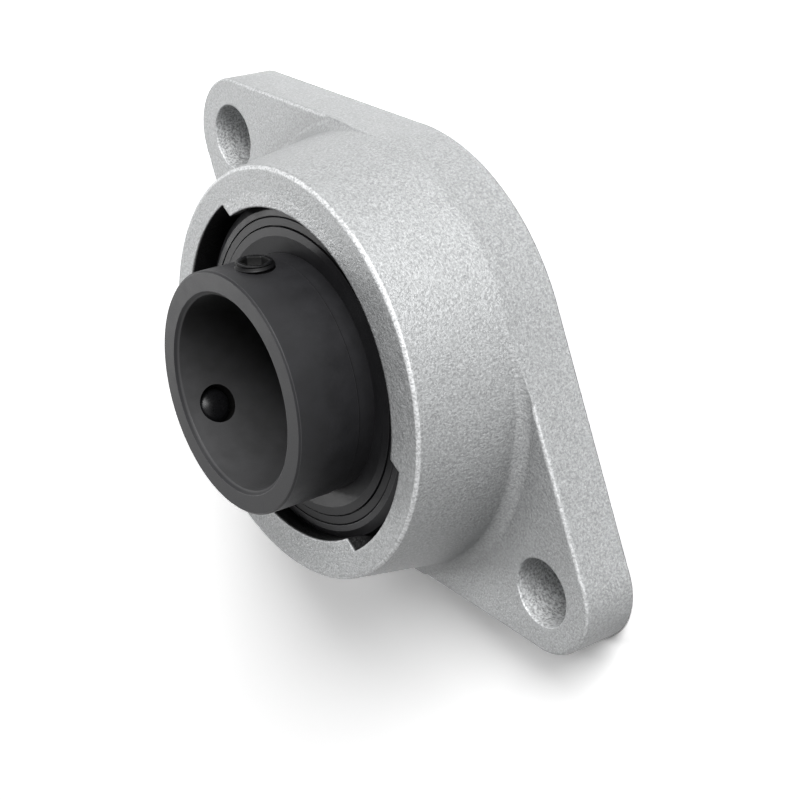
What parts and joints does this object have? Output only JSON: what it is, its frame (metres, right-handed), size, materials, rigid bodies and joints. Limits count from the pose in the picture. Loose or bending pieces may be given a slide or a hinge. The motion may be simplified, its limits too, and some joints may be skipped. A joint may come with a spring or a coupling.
{
  "type": "two-bolt flange bearing unit",
  "caption": "Oval cast flange housing with an insert ball bearing that swivels in a spherical seat and clamps its shaft with set screws.",
  "frame": {"origin": "on the bearing's axis, in the plane of the mounting face", "axes": "+Z along the bearing's axis, out of the front; +X along the flange, from bolt hole to bolt hole"},
  "size_m": [0.1894, 0.116, 0.0606],
  "materials": {
    "cast_housing": "light grey grainy cast skin",
    "black_ring": "black satin turned steel",
    "black_sheet": "black satin pressed sheet",
    "cage_sheet": "bare pressed sheet",
    "black_screw": "black hardened steel",
    "ball_steel": "polished"
  },
  "bodies": {
    "housing": {"housing": "cast_housing"},
    "outer_ring": {"outer_ring": "black_ring", "front_seal": "black_sheet", "rear_seal": "black_sheet"},
    "inner_ring": {"inner_ring": "black_ring", "front_flinger": "black_sheet", "rear_flinger": "black_sheet"},
    "cage": {"cage_front": "cage_sheet", "cage_rear": "cage_sheet", "cage_rivets": "cage_sheet"},
    "ball_01": {"ball_01": "ball_steel"},
    "ball_02": {"ball_02": "ball_steel"},
    "ball_03": {"ball_03": "ball_steel"},
    "ball_04": {"ball_04": "ball_steel"},
    "ball_05": {"ball_05": "ball_steel"},
    "ball_06": {"ball_06": "ball_steel"},
    "ball_07": {"ball_07": "ball_steel"},
    "ball_08": {"ball_08": "ball_steel"},
    "ball_09": {"ball_09": "ball_steel"},
    "ball_10": {"ball_10": "ball_steel"},
    "set_screw_1": {"set_screw_1": "black_screw"},
    "set_screw_2": {"set_screw_2": "black_screw"}
  },
  "joints": [
    {"name": "insert_swivel", "type": "hinge", "parent": "housing", "child": "outer_ring", "pos_m": [0, 0, 0.028], "axis": [0, 1, 0], "range_deg": [-5, 5]},
    {"name": "shaft_spin", "type": "hinge", "parent": "outer_ring", "child": "inner_ring", "pos_m": [0, 0, 0.028], "axis": [0, 0, 1], "continuous": true},
    {"name": "cage_spin", "type": "hinge", "parent": "outer_ring", "child": "cage", "pos_m": [0, 0, 0.028], "axis": [0, 0, 1], "continuous": true},
    {"name": "ball_01_spin", "type": "hinge", "parent": "cage", "child": "ball_01", "pos_m": [0.035, 0, 0.028], "axis": [0, 0, 1], "continuous": true},
    {"name": "ball_02_spin", "type": "hinge", "parent": "cage", "child": "ball_02", "pos_m": [0.02832, 0.02057, 0.028], "axis": [0, 0, 1], "continuous": true},
    {"name": "ball_03_spin", "type": "hinge", "parent": "cage", "child": "ball_03", "pos_m": [0.01082, 0.03329, 0.028], "axis": [0, 0, 1], "continuous": true},
    {"name": "ball_04_spin", "type": "hinge", "parent": "cage", "child": "ball_04", "pos_m": [-0.01082, 0.03329, 0.028], "axis": [0, 0, 1], "continuous": true},
    {"name": "ball_05_spin", "type": "hinge", "parent": "cage", "child": "ball_05", "pos_m": [-0.02832, 0.02057, 0.028], "axis": [0, 0, 1], "continuous": true},
    {"name": "ball_06_spin", "type": "hinge", "parent": "cage", "child": "ball_06", "pos_m": [-0.035, 0, 0.028], "axis": [0, 0, 1], "continuous": true},
    {"name": "ball_07_spin", "type": "hinge", "parent": "cage", "child": "ball_07", "pos_m": [-0.02832, -0.02057, 0.028], "axis": [0, 0, 1], "continuous": true},
    {"name": "ball_08_spin", "type": "hinge", "parent": "cage", "child": "ball_08", "pos_m": [-0.01082, -0.03329, 0.028], "axis": [0, 0, 1], "continuous": true},
    {"name": "ball_09_spin", "type": "hinge", "parent": "cage", "child": "ball_09", "pos_m": [0.01082, -0.03329, 0.028], "axis": [0, 0, 1], "continuous": true},
    {"name": "ball_10_spin", "type": "hinge", "parent": "cage", "child": "ball_10", "pos_m": [0.02832, -0.02057, 0.028], "axis": [0, 0, 1], "continuous": true},
    {"name": "set_screw_1_travel", "type": "slide", "parent": "inner_ring", "child": "set_screw_1", "axis": [0.5519, -0.8339, 0], "range_m": [-0.0006, 0.002]},
    {"name": "set_screw_2_travel", "type": "slide", "parent": "inner_ring", "child": "set_screw_2", "axis": [0.4462, 0.8949, 0], "range_m": [-0.0006, 0.002]}
  ],
  "couplings": [
    {"joint": "cage_spin", "follows": "shaft_spin", "ratio": 0.40929},
    {"joint": "ball_01_spin", "follows": "shaft_spin", "ratio": -2.6652},
    {"joint": "ball_02_spin", "follows": "shaft_spin", "ratio": -2.6652},
    {"joint": "ball_03_spin", "follows": "shaft_spin", "ratio": -2.6652},
    {"joint": "ball_04_spin", "follows": "shaft_spin", "ratio": -2.6652},
    {"joint": "ball_05_spin", "follows": "shaft_spin", "ratio": -2.6652},
    {"joint": "ball_06_spin", "follows": "shaft_spin", "ratio": -2.6652},
    {"joint": "ball_07_spin", "follows": "shaft_spin", "ratio": -2.6652},
    {"joint": "ball_08_spin", "follows": "shaft_spin", "ratio": -2.6652},
    {"joint": "ball_09_spin", "follows": "shaft_spin", "ratio": -2.6652},
    {"joint": "ball_10_spin", "follows": "shaft_spin", "ratio": -2.6652}
  ]
}
